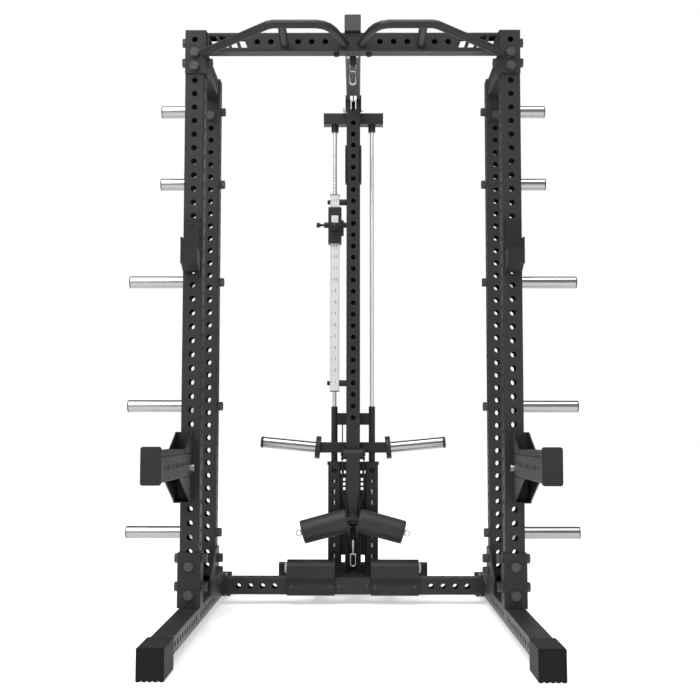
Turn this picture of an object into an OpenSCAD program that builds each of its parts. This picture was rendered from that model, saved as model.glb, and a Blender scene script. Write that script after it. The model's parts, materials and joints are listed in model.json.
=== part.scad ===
// Power cage: a half rack with a plate-loaded cable tower behind it.
// Origin: centre of the footprint on the floor. +Z up, -Y to the user's side (front), +X to the right.

/* [Rack frame] */
// Centre distance between the left and right uprights
rack_w = 1150; // [1100:10:1250]
// Distance from front face to front face of the front and rear uprights
rack_d = 456; // [420:2:500]
// Side of the square upright tube
tube = 70; // [70:1:75]
// Wall thickness of the frame tubes
wall = 3; // [2:0.5:4]
// Diameter of the adjustment holes
hole_d = 21; // [17:1:25]
// Top of the front uprights above the floor
front_top = 2172; // [2160:1:2180]
// Top of the rear uprights above the floor
rear_top = 2140; // [2130:1:2145]

/* [Base] */
// Top of the foot tubes above the floor
foot_top = 95; // [90:1:100]
// Height of the foot tubes
foot_h = 60; // [50:1:60]
// Width of the rubber boots
boot_w = 82; // [80:1:90]
// Half of the overall depth of the rack
half_depth = 862; // [850:1:900]

/* [Cable tower] */
// Side of the centre post and the boom
post_w = 60; // [50:1:60]
// Centre distance between the two guide rods
rod_pitch = 165; // [160:1:170]
// Diameter of the guide rods
rod_d = 18; // [16:1:20]
// Groove radius of the cable pulleys
groove_r = 40; // [36:1:42]
// Diameter of the steel cable
cable_d = 5; // [4:0.5:6]

/* [Plate pegs] */
// Diameter of the storage pegs and the carriage horns
peg_d = 48; // [40:1:50]
// Length of the two upper pegs
peg_short = 170; // [120:5:200]
// Length of the three lower pegs
peg_long = 290; // [200:5:300]

/* [Hidden] */
$fn = 32;
eps = 0.01;
pitch = 50;
hx = rack_w / 2;
inner_x = hx - tube / 2;
outer_x = hx + tube / 2;

// Faces of the main members, front to back
front_y = -138;
rear_y = front_y + rack_d;
cross_y = front_y + 700;
post_y = front_y + 855;
rod_y = front_y + 945;
beam_z = 2140;
boom_z = 2178;
boom_front_y = front_y + 10;

// Hole rows of the uprights: front faces, and side faces half a pitch higher
face_z0 = 140;
side_z0 = 165;
face_n = 41;
side_n = 39;

// Weight pegs: height of each row
peg_z = [2015, 1715, 1315, 815, 315];

// Pulleys and cable
pulley_z = beam_z + 5;
front_pulley_y = front_y + 190;
rear_pulley_y = post_y + 50;
cable_top_z = pulley_z + groove_r;
hook_y = front_pulley_y - groove_r;
drop_y = rear_pulley_y + groove_r;
pulley_t = 18;
low_groove_r = 27;
sling_y = post_y - 7;
low_pulley_y = sling_y + low_groove_r;
low_pulley_z = 306;
leg_x = 47;
leg_top_z = 592;
ferrule_z = 366;
low_hook_top = 254;

// Carriage at rest
sleeve_top = 824;
sleeve_bottom = 545;
plate_z0 = 744;
beam_z0 = 622;

// Tower base
channel_top = 583;
base_bar_z = 74;
channel_bottom = base_bar_z + 70;

// Scale rail and slider
rail_x = -81;
rail_w = 40;
rail_y = post_y + 10;
rail_z0 = 888;
rail_z1 = 1756;
slider_z0 = 1538;
slider_h = 160;
slider_pin_z = slider_z0 + 85;

// Thigh support
hinge_y = post_y - 27;
hinge_z = 619;
hub_z = 346;
hub_y = post_y - 68;
roller_r = 50;
roller_len = 198;
roller_tilt = 15;

// Spotter arms
arm_w = 60;
arm_x = hx + 20;
arm_z0 = 560;
arm_h = 80;
arm_front_y = front_y - 640;
arm_plate_z0 = 465;
arm_plate_z1 = 713;
plate_t = 6;

// J-cups
cup_z0 = 1284;
cup_h = 194;
cup_w = 58;

bolt_d = 20;
bolt_af = 30;
head_t = 12;

// ---------------------------------------------------------------- helpers

// Box from its low corner
module block(x, y, z, w, d, h) {
    translate([x, y, z]) cube([w, d, h]);
}

// Cylinders along X, Y and Z, starting at the given point
module rod_x(x, y, z, l, d) {
    translate([x, y, z]) rotate([0, 90, 0]) cylinder(h = l, d = d);
}
module rod_y(x, y, z, l, d) {
    translate([x, y, z]) rotate([-90, 0, 0]) cylinder(h = l, d = d);
}
module rod_z(x, y, z, l, d) {
    translate([x, y, z]) cylinder(h = l, d = d);
}

// Rectangle with round corners, from its low corner
module round_rect(w, h, r) {
    translate([r, 0]) square([w - 2 * r, h]);
    translate([0, r]) square([w, h - 2 * r]);
    for (x = [r, w - r], y = [r, h - r]) translate([x, y]) circle(r);
}

// Hollow section profile
module tube_profile(w, h, t, r = 5) {
    difference() {
        round_rect(w, h, r);
        translate([t, t]) square([w - 2 * t, h - 2 * t]);
    }
}

// Square tubes along X, Y and Z, starting at the low corner
module tube_x(x, y, z, l, d, h, t = wall) {
    translate([x, y, z]) rotate([90, 0, 90]) linear_extrude(l) tube_profile(d, h, t);
}
module tube_y(x, y, z, w, l, h, t = wall) {
    translate([x, y + l, z]) rotate([90, 0, 0]) linear_extrude(l) tube_profile(w, h, t);
}
module tube_z(x, y, z, w, d, l, t = wall) {
    translate([x, y, z]) linear_extrude(l) tube_profile(w, d, t);
}

// Outline in the YZ plane, extruded along X
module yz_plate(x, t, pts) {
    translate([x, 0, 0]) rotate([90, 0, 90]) linear_extrude(t) polygon(pts);
}

// Outline in the XZ plane, extruded along +Y
module xz_plate(y, t, pts) {
    translate([0, y + t, 0]) rotate([90, 0, 0]) linear_extrude(t) polygon(pts);
}

// Left-hand copy of a right-hand shape
module side_of(side) {
    if (side > 0) children();
    else mirror([1, 0, 0]) children();
}

// Hexagon bar along +Z across flats af
module hex(af, h) {
    cylinder(h = h, r = af / sqrt(3), $fn = 6);
}

// Bolt pointing along +Z from under its head; the washer sits at z = 0
module bolt(l, d = bolt_d, af = bolt_af, t = head_t) {
    translate([0, 0, -3]) cylinder(h = 3, d = af * 1.23);
    translate([0, 0, -3 - t]) hex(af, t);
    translate([0, 0, -eps]) cylinder(h = l, d = d);
}

// Nut with its washer on the face at z = 0, growing along +Z
module nut(d = bolt_d, af = bolt_af, t = 16) {
    difference() {
        union() {
            cylinder(h = 3, d = af * 1.23);
            translate([0, 0, 3 - eps]) hex(af, t);
        }
        translate([0, 0, -1]) cylinder(h = t + 5, d = d + 0.4);
    }
}

// Round bar through a list of points, with a slightly larger ball at each bend
module bar(pts, d, seam = 0) {
    for (i = [0 : len(pts) - 2]) {
        v = pts[i + 1] - pts[i];
        translate(pts[i])
            rotate([0, acos(v.z / norm(v)), atan2(v.y, v.x)])
                rotate([0, 0, seam]) cylinder(h = norm(v), d = d);
        if (i > 0) translate(pts[i]) rotate([2 * seam, 0, 0]) sphere(d = d + 0.4);
    }
}

// ---------------------------------------------------------------- rack frame

module upright(y, top, extra) {
    color("#3a3b3d")
    difference() {
        tube_z(inner_x, y, foot_top, tube, tube, top - foot_top);
        for (k = [0 : face_n - 1], z = [face_z0 + pitch * k])
            if (z < top - 15) rod_y(hx, y - 1, z, tube + 2, hole_d);
        for (k = [0 : side_n - 1])
            rod_x(inner_x - 1, y + tube / 2, side_z0 + pitch * k, tube + 2, hole_d);
        if (extra) rod_x(inner_x - 1, y + tube / 2, beam_z, tube + 2, hole_d);
    }
}
module front_upright_left() { side_of(-1) upright(front_y, front_top, true); }
module front_upright_right() { upright(front_y, front_top, true); }
module rear_upright_left() { side_of(-1) upright(rear_y, rear_top, false); }
module rear_upright_right() { upright(rear_y, rear_top, false); }

// Plastic plugs in the open tube ends
module end_caps() {
    color("#17181a") {
        for (s = [-1, 1]) side_of(s) {
            tube_plug(inner_x, front_y, front_top);
            tube_plug(inner_x, rear_y, rear_top);
        }
        translate([-post_w / 2, boom_front_y, boom_z]) rotate([90, 0, 0])
            linear_extrude(3) round_rect(post_w, post_w, 5);
    }
}
module tube_plug(x, y, z) {
    translate([x, y, z]) linear_extrude(3) round_rect(tube, tube, 5);
    block(x + wall + 0.5, y + wall + 0.5, z - 12, tube - 2 * wall - 1, tube - 2 * wall - 1, 12 + eps);
}

foot_y0 = -half_depth + 10.3;
foot_y1 = half_depth - 10.3;
module foot() {
    color("#3a3b3d")
    difference() {
        tube_y(inner_x, foot_y0, foot_top - foot_h, tube, foot_y1 - foot_y0, foot_h);
        for (k = [0 : 9]) foot_hole(front_y - 497 + pitch * k);
        for (k = [0 : 7]) foot_hole(front_y + 65 + pitch * k);
        for (dy = [15, 55]) foot_hole(cross_y + dy, 14);
    }
}
module foot_hole(y, d = hole_d) {
    rod_x(inner_x - 1, y, foot_top - foot_h / 2, tube + 2, d);
}
module base_foot_left() { side_of(-1) foot(); }
module base_foot_right() { foot(); }

// Rubber boots: a sleeve around each end of a foot, with a grooved sole
module boot(y, l, open_front) {
    sole_grooves = 4;
    shell = 2.4;
    color("#1b1b1c")
    difference() {
        translate([hx - boot_w / 2, y + l, 0]) rotate([90, 0, 0])
            linear_extrude(l) round_rect(boot_w, foot_top + shell, 5);
        block(inner_x - 0.2, open_front ? y - 1 : y + 10, foot_top - foot_h - 0.2,
            tube + 0.4, l - 9, foot_h + 0.4);
        for (k = [1 : sole_grooves])
            rod_y(hx - boot_w / 2 + k * boot_w / (sole_grooves + 1), y - 1, -2, l + 2, 11);
    }
}
module foot_boots() {
    for (s = [-1, 1]) side_of(s) {
        boot(-half_depth, 164, false);
        boot(half_depth - 74, 74, true);
    }
}

// U-shaped brackets that tie the uprights to the feet
module front_foot_bracket() {
    z0 = foot_top;
    h = 193;
    difference() {
        block(inner_x - plate_t, front_y - plate_t, z0, tube + 2 * plate_t, tube + plate_t, h);
        block(inner_x, front_y, z0 - 1, tube, tube + 1, h + 2);
        for (z = [140, 240]) rod_y(hx, front_y - plate_t - 1, z, plate_t + 2, hole_d);
        for (z = [165, 265])
            rod_x(inner_x - plate_t - 1, front_y + tube / 2, z, tube + 2 * plate_t + 2, hole_d);
    }
    block(inner_x - plate_t, front_y + tube, z0, tube + 2 * plate_t, 70, plate_t);
}
module rear_foot_bracket() {
    z0 = foot_top;
    plate_top = z0 + 165;
    for (x = [inner_x - plate_t, outer_x]) difference() {
        yz_plate(x, plate_t, [[rear_y - 150, z0], [rear_y + tube, z0], [rear_y + tube, plate_top],
            [rear_y - 20, plate_top], [rear_y - 150, z0 + 60]]);
        for (z = [165, 215]) rod_x(x - 1, rear_y + tube / 2, z, plate_t + 2, hole_d);
    }
    block(inner_x, rear_y - 150, z0, tube, 150, plate_t);
    block(inner_x - plate_t, rear_y + tube, z0, tube + 2 * plate_t, plate_t, 60);
}
module foot_brackets() {
    color("#343537")
    for (s = [-1, 1]) side_of(s) {
        front_foot_bracket();
        rear_foot_bracket();
    }
}

// Front crossmember with its corner plates and slanted cut-outs
cross_front_y = front_y + 18;
cross_d = 60;
module top_crossmember() {
    cut_x0 = 385;
    cut_n = 4;
    color("#3a3b3d")
    difference() {
        union() {
            tube_x(-inner_x + plate_t, cross_front_y, beam_z - 35, 2 * (inner_x - plate_t), cross_d, 70);
            for (s = [-1, 1]) side_of(s) {
                block(inner_x - plate_t, front_y - plate_t, beam_z - 125, tube + plate_t, plate_t, 160);
                block(inner_x - plate_t, front_y - eps, beam_z - 125, plate_t, cross_d + 18 + eps, 160);
                xz_plate(front_y + 4, 14, [[inner_x - plate_t + eps, beam_z + 35],
                    [inner_x - 16, beam_z + 20], [inner_x - 16, beam_z - 35],
                    [inner_x - plate_t + eps, beam_z - 35]]);
            }
        }
        for (k = [2, 3, 4, 6, 7], s = [-1, 1])
            rod_y(s * pitch * k, cross_front_y - 1, beam_z, cross_d + 2, hole_d);
        for (s = [-1, 1]) side_of(s) {
            for (k = [0 : cut_n - 1])
                xz_plate(cross_front_y - 1, cross_d + 2, [
                    [cut_x0 + 34 * k, beam_z - 22], [cut_x0 + 34 * k + 22, beam_z - 22],
                    [cut_x0 + 34 * k + 38, beam_z + 22], [cut_x0 + 34 * k + 16, beam_z + 22]]);
            for (z = [beam_z, beam_z - 50, beam_z - 100])
                rod_y(hx, front_y - plate_t - 1, z, plate_t + 2, hole_d);
            for (z = [beam_z, beam_z - 75])
                rod_x(inner_x - plate_t - 1, front_y + tube / 2, z, plate_t + 2, hole_d);
            rod_z(60, cross_front_y + cross_d / 2, beam_z - 40, 80, 11);
        }
    }
}

// Beams that run from the front to the rear uprights at the top
module top_side_beams() {
    beam_y0 = front_y + tube;
    beam_l = rack_d - tube;
    color("#3a3b3d")
    for (s = [-1, 1]) side_of(s) difference() {
        union() {
            tube_y(hx - 30, beam_y0 + plate_t - eps, beam_z - 72, 60, beam_l - 2 * plate_t + 2 * eps, 70);
            block(inner_x, beam_y0, beam_z - 122, tube, plate_t, 120);
            block(inner_x, rear_y - plate_t, beam_z - 171, tube, plate_t, 169);
        }
        for (k = [1 : 6]) rod_x(hx - 31, beam_y0 + 18 + pitch * k, beam_z - 37, 62, hole_d);
        for (z = [beam_z - 50, beam_z - 100]) rod_y(hx, beam_y0 - 1, z, plate_t + 2, hole_d);
        rod_y(hx, rear_y - plate_t - 1, beam_z - 150, plate_t + 2, hole_d);
    }
}

// Multi-grip pull-up bars, welded to the crossmember and the corner plate
grip_d = 30;
module pull_up_bar() {
    grip_y = cross_front_y - 170;
    grip_z = beam_z + 2;
    color("#2b2c2e")
    difference() {
        union() {
            bar([[inner_x + 4, front_y - 10, beam_z - 52],
                [inner_x - 60, front_y - 46, beam_z - 38],
                [300, grip_y + 5, grip_z - 2], [280, grip_y, grip_z],
                [130, grip_y, grip_z], [104, grip_y + 9, grip_z], [83, grip_y + 29, grip_z - 1],
                [66, grip_y + 62, grip_z - 3], [27, cross_front_y + 10, beam_z - 8]], grip_d, 45);
            bar([[250, grip_y, grip_z], [250, cross_front_y + 10, beam_z - 9]], grip_d, 45);
        }
        block(0, cross_front_y, beam_z - 60, inner_x - plate_t, 60, 120);
        block(inner_x - plate_t, front_y - plate_t, beam_z - 100, 60, 60, 120);
    }
}
module pull_up_bar_left() { side_of(-1) pull_up_bar(); }
module pull_up_bar_right() { pull_up_bar(); }

// ---------------------------------------------------------------- cable tower

// Square boom above the rack, slotted underneath for the pulleys
module boom() {
    color("#4a4b4d")
    difference() {
        tube_y(-post_w / 2, boom_front_y, boom_z, post_w, post_y + post_w - boom_front_y, post_w);
        block(-14, front_pulley_y - 60, boom_z - 1, 28, 120, wall + 2);
        block(-14, rear_pulley_y - 110, boom_z - 1, 28, 200, wall + 2);
        block(-14, post_y + 20, boom_z - 1, 28, 60, post_w - wall - 10);
    }
}

// Saddle under the boom and the two cheek plates that carry the front pulley
module front_pulley_bracket() {
    cheek_h = 74;
    color("#7d7f82") {
        for (x = [-13, 9]) difference() {
            block(x, front_pulley_y - 24, boom_z - cheek_h, 4, 48, cheek_h - 0.01);
            rod_x(x - 1, front_pulley_y, pulley_z, 6, 12);
        }
    }
    color("#151516")
        block(-post_w / 2, cross_front_y, beam_z + 35, post_w, cross_d, boom_z - beam_z - 35);
}

// Centre post with its hole row and the pulley slots at the top and bottom
module centre_post() {
    z0 = base_bar_z + 36;
    color("#3a3b3d")
    difference() {
        tube_z(-post_w / 2, post_y, z0, post_w, post_w, boom_z - z0);
        for (k = [0 : 26]) rod_y(0, post_y - 1, beam_z - 65 - pitch * k, wall + 4, hole_d);
        for (z = [beam_z - 415, beam_z - 1215]) rod_x(-post_w, post_y + 30, z, 2 * post_w, 13);
        block(-12, post_y - 1, boom_z - 48, 24, post_w + 2, 60);
        block(-12, post_y + 30, beam_z - 60, 24, 60, 80);
        block(-12, post_y - 1, low_pulley_z - 48, 24, wall + 2, 96);
        block(-22, post_y - 1, 118, 44, wall + 2, 146);
        rod_x(-post_w, rear_pulley_y, pulley_z, 2 * post_w, 12);
        rod_x(-post_w, low_pulley_y, low_pulley_z, 2 * post_w, 12);
    }
}

// Side plates on the post: around the rear pulley, the splice below it and the low pulley
module post_plates() {
    color("#2f3032")
    for (s = [-1, 1]) side_of(s) {
        difference() {
            yz_plate(post_w / 2, 5, [[post_y - 4, boom_z + 20], [post_y - 4, beam_z + 12],
                [post_y + 6, beam_z], [post_y + 66, beam_z], [post_y + 66, boom_z + 20]]);
            rod_x(post_w / 2 - 1, rear_pulley_y, pulley_z, 8, 12);
        }
        yz_plate(post_w / 2, 6, [[post_y + 4, beam_z - 165], [post_y - 6, beam_z - 180],
            [post_y - 6, beam_z - 315], [post_y + 4, beam_z - 330], [post_y + 56, beam_z - 330],
            [post_y + 56, beam_z - 165]]);
        difference() {
            yz_plate(post_w / 2, 4, [[post_y - 22, 118], [post_y - 22, 200], [post_y - 4, 330],
                [post_y + 52, 345], [post_y + 52, 118]]);
            rod_x(post_w / 2 - 1, low_pulley_y, low_pulley_z, 8, 12);
        }
    }
}

// Crosspiece that holds the rods at the top, with a collar under each end
module top_crosspiece() {
    z0 = beam_z - 53;
    color("#3a3b3d")
    difference() {
        union() {
            tube_x(-130, post_y + post_w, z0, 260, 60, 50);
            for (s = [-1, 1]) rod_z(s * rod_pitch / 2, rod_y, z0 - 31, 31 + eps, 32);
            for (s = [-1, 1]) side_of(s) block(130 - eps, post_y + post_w, z0, 3, 60, 50);
        }
        block(-13, post_y + post_w - 1, z0 - 1, 26, 42, 60);
        for (s = [-1, 1]) rod_z(s * rod_pitch / 2, rod_y, z0 - 32, 60, rod_d + 0.2);
    }
}

rod_z0 = base_bar_z + 60;
module guide_rods() {
    color("#e4e6e8")
    for (s = [-1, 1]) rod_z(s * rod_pitch / 2, rod_y, rod_z0, beam_z - 28 - rod_z0, rod_d);
}

// Rubber bumpers that stop the carriage
module rod_bumpers() {
    color("#161617")
    for (s = [-1, 1]) translate([s * rod_pitch / 2, rod_y, 0]) difference() {
        rod_z(0, 0, sleeve_bottom - 40.3, 40, 32);
        rod_z(0, 0, sleeve_bottom - 45, 60, rod_d + 0.4);
    }
}

// Perforated tubes around the lower ends of the rods
channel_w = 53;
channel_y = rod_y - 27;
module tower_channels() {
    color("#343537")
    for (s = [-1, 1]) side_of(s) translate([rod_pitch / 2 - channel_w / 2, channel_y, 0])
    difference() {
        union() {
            block(0, 0, channel_bottom, channel_w, 54, channel_top - channel_bottom);
            block(channel_w - eps, 4, channel_top - 14, 4, 20, 14);
            block(channel_w - eps, 4, channel_bottom, 4, 20, 14);
        }
        block(3, 3, channel_bottom - 1, channel_w - 6, 48, channel_top - channel_bottom + 2);
        for (k = [0 : 8]) rod_y(channel_w / 2, -1, channel_top - 38 - 46.5 * k, 5, hole_d);
    }
}

// Sheet between the channels, with plain cut-outs
module tower_back_plate() {
    hw = rod_pitch / 2 - channel_w / 2;
    h = channel_top - channel_bottom;
    color("#2b2c2e")
    difference() {
        block(-hw, channel_y + 24, channel_bottom, 2 * hw, 3, h);
        for (s = [-1, 1]) side_of(s) {
            for (k = [0 : 1]) block(32 + 14 * k, channel_y, channel_top - 52, 8, 40, 12);
            for (k = [0 : 2]) block(34, channel_y, channel_top - 84 - 20 * k, 10, 40, 12);
            block(32, channel_y, channel_bottom - 1, 19, 40, 34);
        }
    }
}

// Base bar under the rods and the stretchers that tie it to the rear crossmember
module tower_base() {
    bar_y = rod_y - 25;
    back_y = cross_y + tube;
    color("#343537")
    difference() {
        union() {
            tube_x(-320, bar_y, base_bar_z, 640, 54, 70);
            for (s = [-1, 1]) side_of(s) {
                tube_y(130, back_y, base_bar_z - 34, 50, bar_y - back_y + eps, 60);
                block(320 - eps, bar_y, base_bar_z, 3, 54, 70);
            }
            block(-40, back_y, base_bar_z + 26, 80, bar_y - back_y + eps, 10);
            block(-40, back_y, base_bar_z - 34, 80, 8, 70);
        }
        for (s = [-1, 1]) rod_z(s * rod_pitch / 2, rod_y, base_bar_z + 59, 20, rod_d + 0.2);
    }
}

// Bottom crossmember between the feet, with its end flanges and the centre plate
module rear_crossmember() {
    flange_t = 10;
    z0 = 40;
    color("#3a3b3d")
    difference() {
        union() {
            tube_x(-inner_x + flange_t, cross_y, z0, 2 * (inner_x - flange_t), tube, tube);
            for (s = [-1, 1]) side_of(s)
                yz_plate(inner_x - flange_t, flange_t, [[cross_y - 12, 36], [cross_y + 82, 36],
                    [cross_y + 82, 122], [cross_y + 60, 128], [cross_y + 10, 128], [cross_y - 12, 122]]);
            block(-74, cross_y - 4, z0 + 2, 148, 4 + eps, tube - 4);
        }
        for (s = [-1, 1], k = [6.5 : 9.5]) {
            rod_y(s * k * pitch, cross_y - 1, z0 + 35, tube + 2, hole_d);
            rod_z(s * k * pitch, cross_y + 35, z0 - 1, tube + 2, hole_d);
        }
        for (s = [-1, 1], dy = [15, 55])
            rod_x(s * inner_x - 12, cross_y + dy, foot_top - foot_h / 2, 24, 14);
    }
}

// Foot rests: a round pad over the crossmember with a ribbed plate in front of it
rest_x = 174;
rest_w = 198;
module foot_rest() {
    pad_r = 36;
    pad_y = cross_y + 18;
    pad_z = 147;
    color("#2c2d2f") {
        difference() {
            union() {
                rod_x(rest_x - rest_w / 2, pad_y, pad_z, rest_w, 2 * pad_r);
                block(rest_x - rest_w / 2, cross_y - 18, 110.3, rest_w, 70, 34);
                block(rest_x - rest_w / 2, cross_y - 12, 38, rest_w, 11.7, 80);
            }
            block(rest_x - rest_w / 2 - 1, cross_y - 0.3, 30, rest_w + 2, 80, 80.3);
            for (k = [0 : 2])
                rod_x(rest_x - rest_w / 2 - 1, cross_y - 12, 96 - 8 * k, rest_w + 2, 3);
            rod_x(rest_x - rest_w / 2 - 1, pad_y, pad_z, rest_w + 2, 14);
        }
        block(rest_x - 52, pad_y - pad_r - 1.2, pad_z - 11, 104, 8, 22);
    }
}
module foot_rest_left() { side_of(-1) foot_rest(); }
module foot_rest_right() { foot_rest(); }

// ---------------------------------------------------------------- scale rail

module scale_rail() {
    color("#eceded")
    difference() {
        tube_z(rail_x - rail_w / 2, rail_y, rail_z0 + 3, rail_w, rail_w, rail_z1 - rail_z0 - 6, 2);
        for (z = [beam_z - 415, beam_z - 1215]) rod_x(rail_x - 30, rail_y + 20, z, 60, 13);
        for (k = [0 : 13]) rod_x(rail_x - 30, rail_y + 20, slider_pin_z - pitch * k, 60, 11);
    }
}
module scale_rail_fittings() {
    color("#1b1b1c") {
        for (z = [rail_z0, rail_z1 - 3])
            translate([rail_x - rail_w / 2 - 1, rail_y - 1, z]) linear_extrude(3)
                round_rect(rail_w + 2, rail_w + 2, 4);
        for (z = [beam_z - 415, beam_z - 1215]) difference() {
            rod_x(rail_x + rail_w / 2, rail_y + 20, z, -rail_x - rail_w / 2 - post_w / 2, 27);
            rod_x(rail_x, rail_y + 20, z, 100, 13);
        }
    }
}

// Sleeve that slides on the rail, with a clamp boss in front and a plunger housing
slider_w = 58;
slider_gap = 0.6;
module slider() {
    sx = rail_x - slider_w / 2;
    sy = rail_y - 9;
    inner = rail_w + 2 * slider_gap;
    color("#2b2c2e")
    difference() {
        union() {
            translate([sx, sy, slider_z0]) linear_extrude(slider_h) round_rect(slider_w, 56, 4);
            block(sx + slider_w - eps, sy + 12, slider_z0 + 38, 10, 32, 66);
            rod_x(sx + slider_w + 9, rail_y + 20, slider_pin_z, 12.5, 24);
            rod_x(sx - 19, rail_y + 20, slider_pin_z, 19 + eps, 25);
            rod_y(rail_x, sy - 8, slider_z0 + 69, 9, 22);
        }
        translate([rail_x - inner / 2, rail_y - slider_gap, slider_z0 - 1])
            cube([inner, inner, slider_h + 2]);
        rod_x(sx - 30, rail_y + 20, slider_pin_z, 40, 10.6);
        rod_y(rail_x, sy - 20, slider_z0 + 69, 40, 10.6);
        block(rail_x - 15, sy - 1, slider_z0 + 92, 30, 2.5, 31);
    }
    color("#e9eaea") block(rail_x - 15, sy + 0.2, slider_z0 + 92, 30, 2, 31);
}
module slider_pin() {
    sx = rail_x - slider_w / 2;
    color("#202122") {
        rod_x(sx - 52, rail_y + 20, slider_pin_z, 14, 22);
        rod_x(sx - 38 - eps, rail_y + 20, slider_pin_z, 6, 14);
        rod_x(sx - 38, rail_y + 20, slider_pin_z, 46.5, 10);
    }
}
module slider_knob() {
    sy = rail_y - 9;
    color("#232425") {
        rod_y(rail_x, sy - 22, slider_z0 + 69, 13.5, 36);
        translate([rail_x, sy - 21.9, slider_z0 + 69]) intersection() {
            sphere(r = 17.5);
            translate([-20, -20, -20]) cube([40, 20, 40]);
        }
        rod_y(rail_x, sy - 10, slider_z0 + 69, 17, 10);
    }
}

// ---------------------------------------------------------------- plate storage

// Pegs on the outer side of the rear uprights: two short rows above three long ones
module weight_pegs() {
    color("#d5d7d9")
    for (s = [-1, 1], i = [0 : 4]) side_of(s) {
        l = i < 2 ? peg_short : peg_long;
        rod_x(outer_x, rear_y + tube / 2, peg_z[i], l - 4, peg_d);
        rod_x(outer_x - tube - 14, rear_y + tube / 2, peg_z[i], tube + 14 + eps, bolt_d);
    }
}
module peg_caps() {
    color("#1b1b1c") {
        for (s = [-1, 1], i = [0 : 4]) side_of(s) {
            l = i < 2 ? peg_short : peg_long;
            rod_x(outer_x + l - 4, rear_y + tube / 2, peg_z[i], 4, peg_d - 1);
        }
    }
}

// ---------------------------------------------------------------- fasteners

module bolt_y(x, y, z, l) { translate([x, y, z]) rotate([-90, 0, 0]) bolt(l); }
module nut_y(x, y, z) { translate([x, y, z]) rotate([-90, 0, 0]) nut(); }
module bolt_in_x(x, y, z, l) { translate([x, y, z]) rotate([0, -90, 0]) bolt(l); }
module nut_in_x(x, y, z) { translate([x, y, z]) rotate([0, -90, 0]) nut(); }

module frame_bolts() {
    my = front_y + tube / 2;
    color("#55575a")
    for (s = [-1, 1]) side_of(s) {
        for (z = [beam_z - 50, beam_z - 100]) bolt_y(hx, front_y - plate_t, z, tube + 2 * plate_t + 18);
        bolt_in_x(outer_x, my, beam_z, tube + plate_t + 14);
        bolt_in_x(outer_x, my, beam_z - 75, tube + plate_t + 20);
        for (z = [140, 240]) bolt_y(hx, front_y - plate_t, z, tube + plate_t + 18);
        for (z = [165, 265]) bolt_in_x(outer_x + plate_t, my, z, tube + 2 * plate_t + 18);
        bolt_y(hx, rear_y - plate_t, beam_z - 150, tube + plate_t + 18);
        for (z = [165, 215])
            bolt_in_x(outer_x + plate_t, rear_y + tube / 2, z, tube + 2 * plate_t + 18);
    }
}
module frame_nuts() {
    my = front_y + tube / 2;
    color("#4b4d50")
    for (s = [-1, 1]) side_of(s) {
        for (z = [beam_z - 50, beam_z - 100]) nut_y(hx, front_y + tube + plate_t, z);
        nut_in_x(inner_x - plate_t, my, beam_z - 75);
        for (z = [140, 240]) nut_y(hx, front_y + tube, z);
        for (z = [165, 265]) nut_in_x(inner_x - plate_t, my, z);
        nut_y(hx, rear_y + tube, beam_z - 150);
        for (z = [165, 215]) nut_in_x(inner_x - plate_t, rear_y + tube / 2, z);
        for (z = peg_z) nut_in_x(inner_x, rear_y + tube / 2, z);
    }
}

// M10 and M12 fasteners of the boom, the rail, the post, the flanges and the foot rests
module small_screws() {
    color("#3f4143") {
        for (s = [-1, 1]) {
            translate([s * 60, cross_front_y + 30, beam_z - 35]) bolt(20, 10, 17, 7);
            for (dy = [15, 55])
                translate([s * (inner_x - 10), cross_y + dy, foot_top - foot_h / 2])
                    rotate([0, s * 90, 0]) bolt(tube + 8, 12, 19, 8);
            for (x = [rest_x - 75, rest_x + 75])
                rod_y(s * x, cross_y - 14.5, 73, 2.5, 13);
            rod_y(s * 60, cross_y - 6.5, 73, 2.5, 10);
        }
        for (z = [beam_z - 415, beam_z - 1215])
            translate([rail_x - rail_w / 2, rail_y + 20, z]) rotate([0, 90, 0]) bolt(120, 12, 17, 10);
    }
}

module pulley_axles() {
    color("#8b8d90") {
        translate([-13, front_pulley_y, pulley_z]) rotate([0, 90, 0]) bolt(34, 11.6, 17, 8);
        translate([-post_w / 2 - 5, rear_pulley_y, pulley_z]) rotate([0, 90, 0]) bolt(78, 11.6, 17, 8);
        translate([-post_w / 2 - 4, low_pulley_y, low_pulley_z]) rotate([0, 90, 0]) bolt(76, 11.6, 17, 8);
    }
}

// ---------------------------------------------------------------- cables and hooks

// Upper cable: from the front pulley over the boom to the rear pulley
module lat_cable_run() {
    color("#26272a") {
        translate([0, front_pulley_y, cable_top_z])
            rotate([-90, 0, 0]) cylinder(h = rear_pulley_y - front_pulley_y, d = cable_d);
        cable_arc(front_pulley_y, pulley_z, groove_r, 90, 180);
        cable_arc(rear_pulley_y, pulley_z, groove_r, 0, 90);
    }
}

// Quarter turns of the cable around a pulley at (y, z), from angle a0 to a1 in the YZ plane
module cable_arc(y, z, r, a0, a1) {
    translate([0, y, z]) rotate([90, 0, 90]) rotate([0, 0, a0])
        rotate_extrude(angle = a1 - a0, $fn = 48) translate([r, 0]) circle(d = cable_d, $fn = 16);
}

hook_ball_z = beam_z - 39;
module lat_cable_front_drop() {
    z0 = hook_ball_z + 10.2;
    color("#26272a") rod_z(0, hook_y, z0, pulley_z - z0, cable_d);
}
module lat_cable_rear_drop() {
    color("#26272a") rod_z(0, drop_y, plate_z0 + 52, pulley_z - plate_z0 - 52, cable_d);
}

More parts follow.
